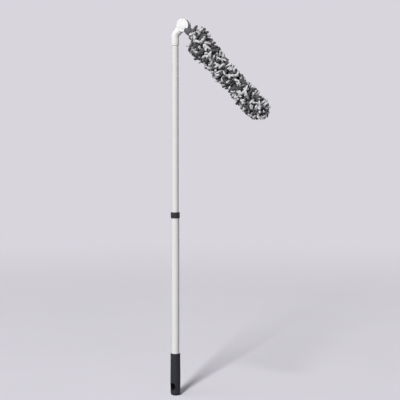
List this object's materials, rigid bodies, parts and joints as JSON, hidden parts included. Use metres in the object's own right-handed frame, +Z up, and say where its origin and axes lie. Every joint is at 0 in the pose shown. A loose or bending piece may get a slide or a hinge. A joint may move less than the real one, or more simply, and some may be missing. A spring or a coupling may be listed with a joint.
{
  "type": "microfiber duster",
  "caption": "Long-handled microfiber duster: telescopic tube pole with a slotted grip, bent neck with a tilting hinge, and a pull-off chenille sleeve on a wand.",
  "frame": {"origin": "centre of the grip's flat foot, on the pole's axis", "axes": "+Z up along the pole; +X the way the neck leans and the head hangs; the hinge axis lies along Y"},
  "size_m": [0.3058, 0.0767, 1.0523],
  "materials": {
    "dark_grip": "soft satin",
    "black_plastic": "satin",
    "white_painted_metal": "satin",
    "white_plastic": "soft gloss",
    "grey_plastic": "satin",
    "pale_plastic": "matt",
    "washer_rubber": "matt",
    "steel": "zinc plated",
    "chenille_white": "soft pile",
    "chenille_dark": "soft pile"
  },
  "bodies": {
    "base": {"grip": "dark_grip", "tube_plug": "dark_grip", "lower_tube": "white_painted_metal", "guide_collar": "black_plastic"},
    "slider": {"lock_bush": "pale_plastic"},
    "upper": {"lock_spindle": "pale_plastic", "spindle_stop": "pale_plastic", "spindle_screw": "steel", "upper_tube": "white_painted_metal", "neck": "white_plastic", "neck_rivet": "steel", "pivot_bolt": "steel", "pivot_nut": "steel", "spring_washer": "steel", "friction_washer_front": "washer_rubber", "friction_washer_rear": "washer_rubber", "hub_cover_front": "white_plastic", "hub_cover_rear": "white_plastic"},
    "head": {"knuckle": "grey_plastic", "core_tube": "pale_plastic", "core_pin": "steel", "core_tip": "pale_plastic"},
    "sleeve": {"sleeve_cuff": "chenille_dark", "sleeve_slice_1": "chenille_white", "sleeve_slice_2": "chenille_white", "sleeve_slice_3": "chenille_white", "sleeve_slice_4": "chenille_white", "sleeve_slice_5": "chenille_white", "sleeve_tip": "chenille_white"}
  },
  "joints": [
    {"name": "pole_slide", "type": "slide", "parent": "base", "child": "slider", "axis": [0, 0, 1], "range_m": [-0.34, 0]},
    {"name": "pole_twist", "type": "hinge", "parent": "slider", "child": "upper", "pos_m": [0, 0, 0.4233], "axis": [0, 0, 1], "range_deg": [-120, 0]},
    {"name": "head_tilt", "type": "hinge", "parent": "upper", "child": "head", "pos_m": [0.02592, 0, 1.03432], "axis": [0, -1, 0], "range_deg": [0, 135]},
    {"name": "sleeve_pull_off", "type": "slide", "parent": "head", "child": "sleeve", "axis": [0.7071, 0, -0.7071], "range_m": [0, 0.3]}
  ]
}
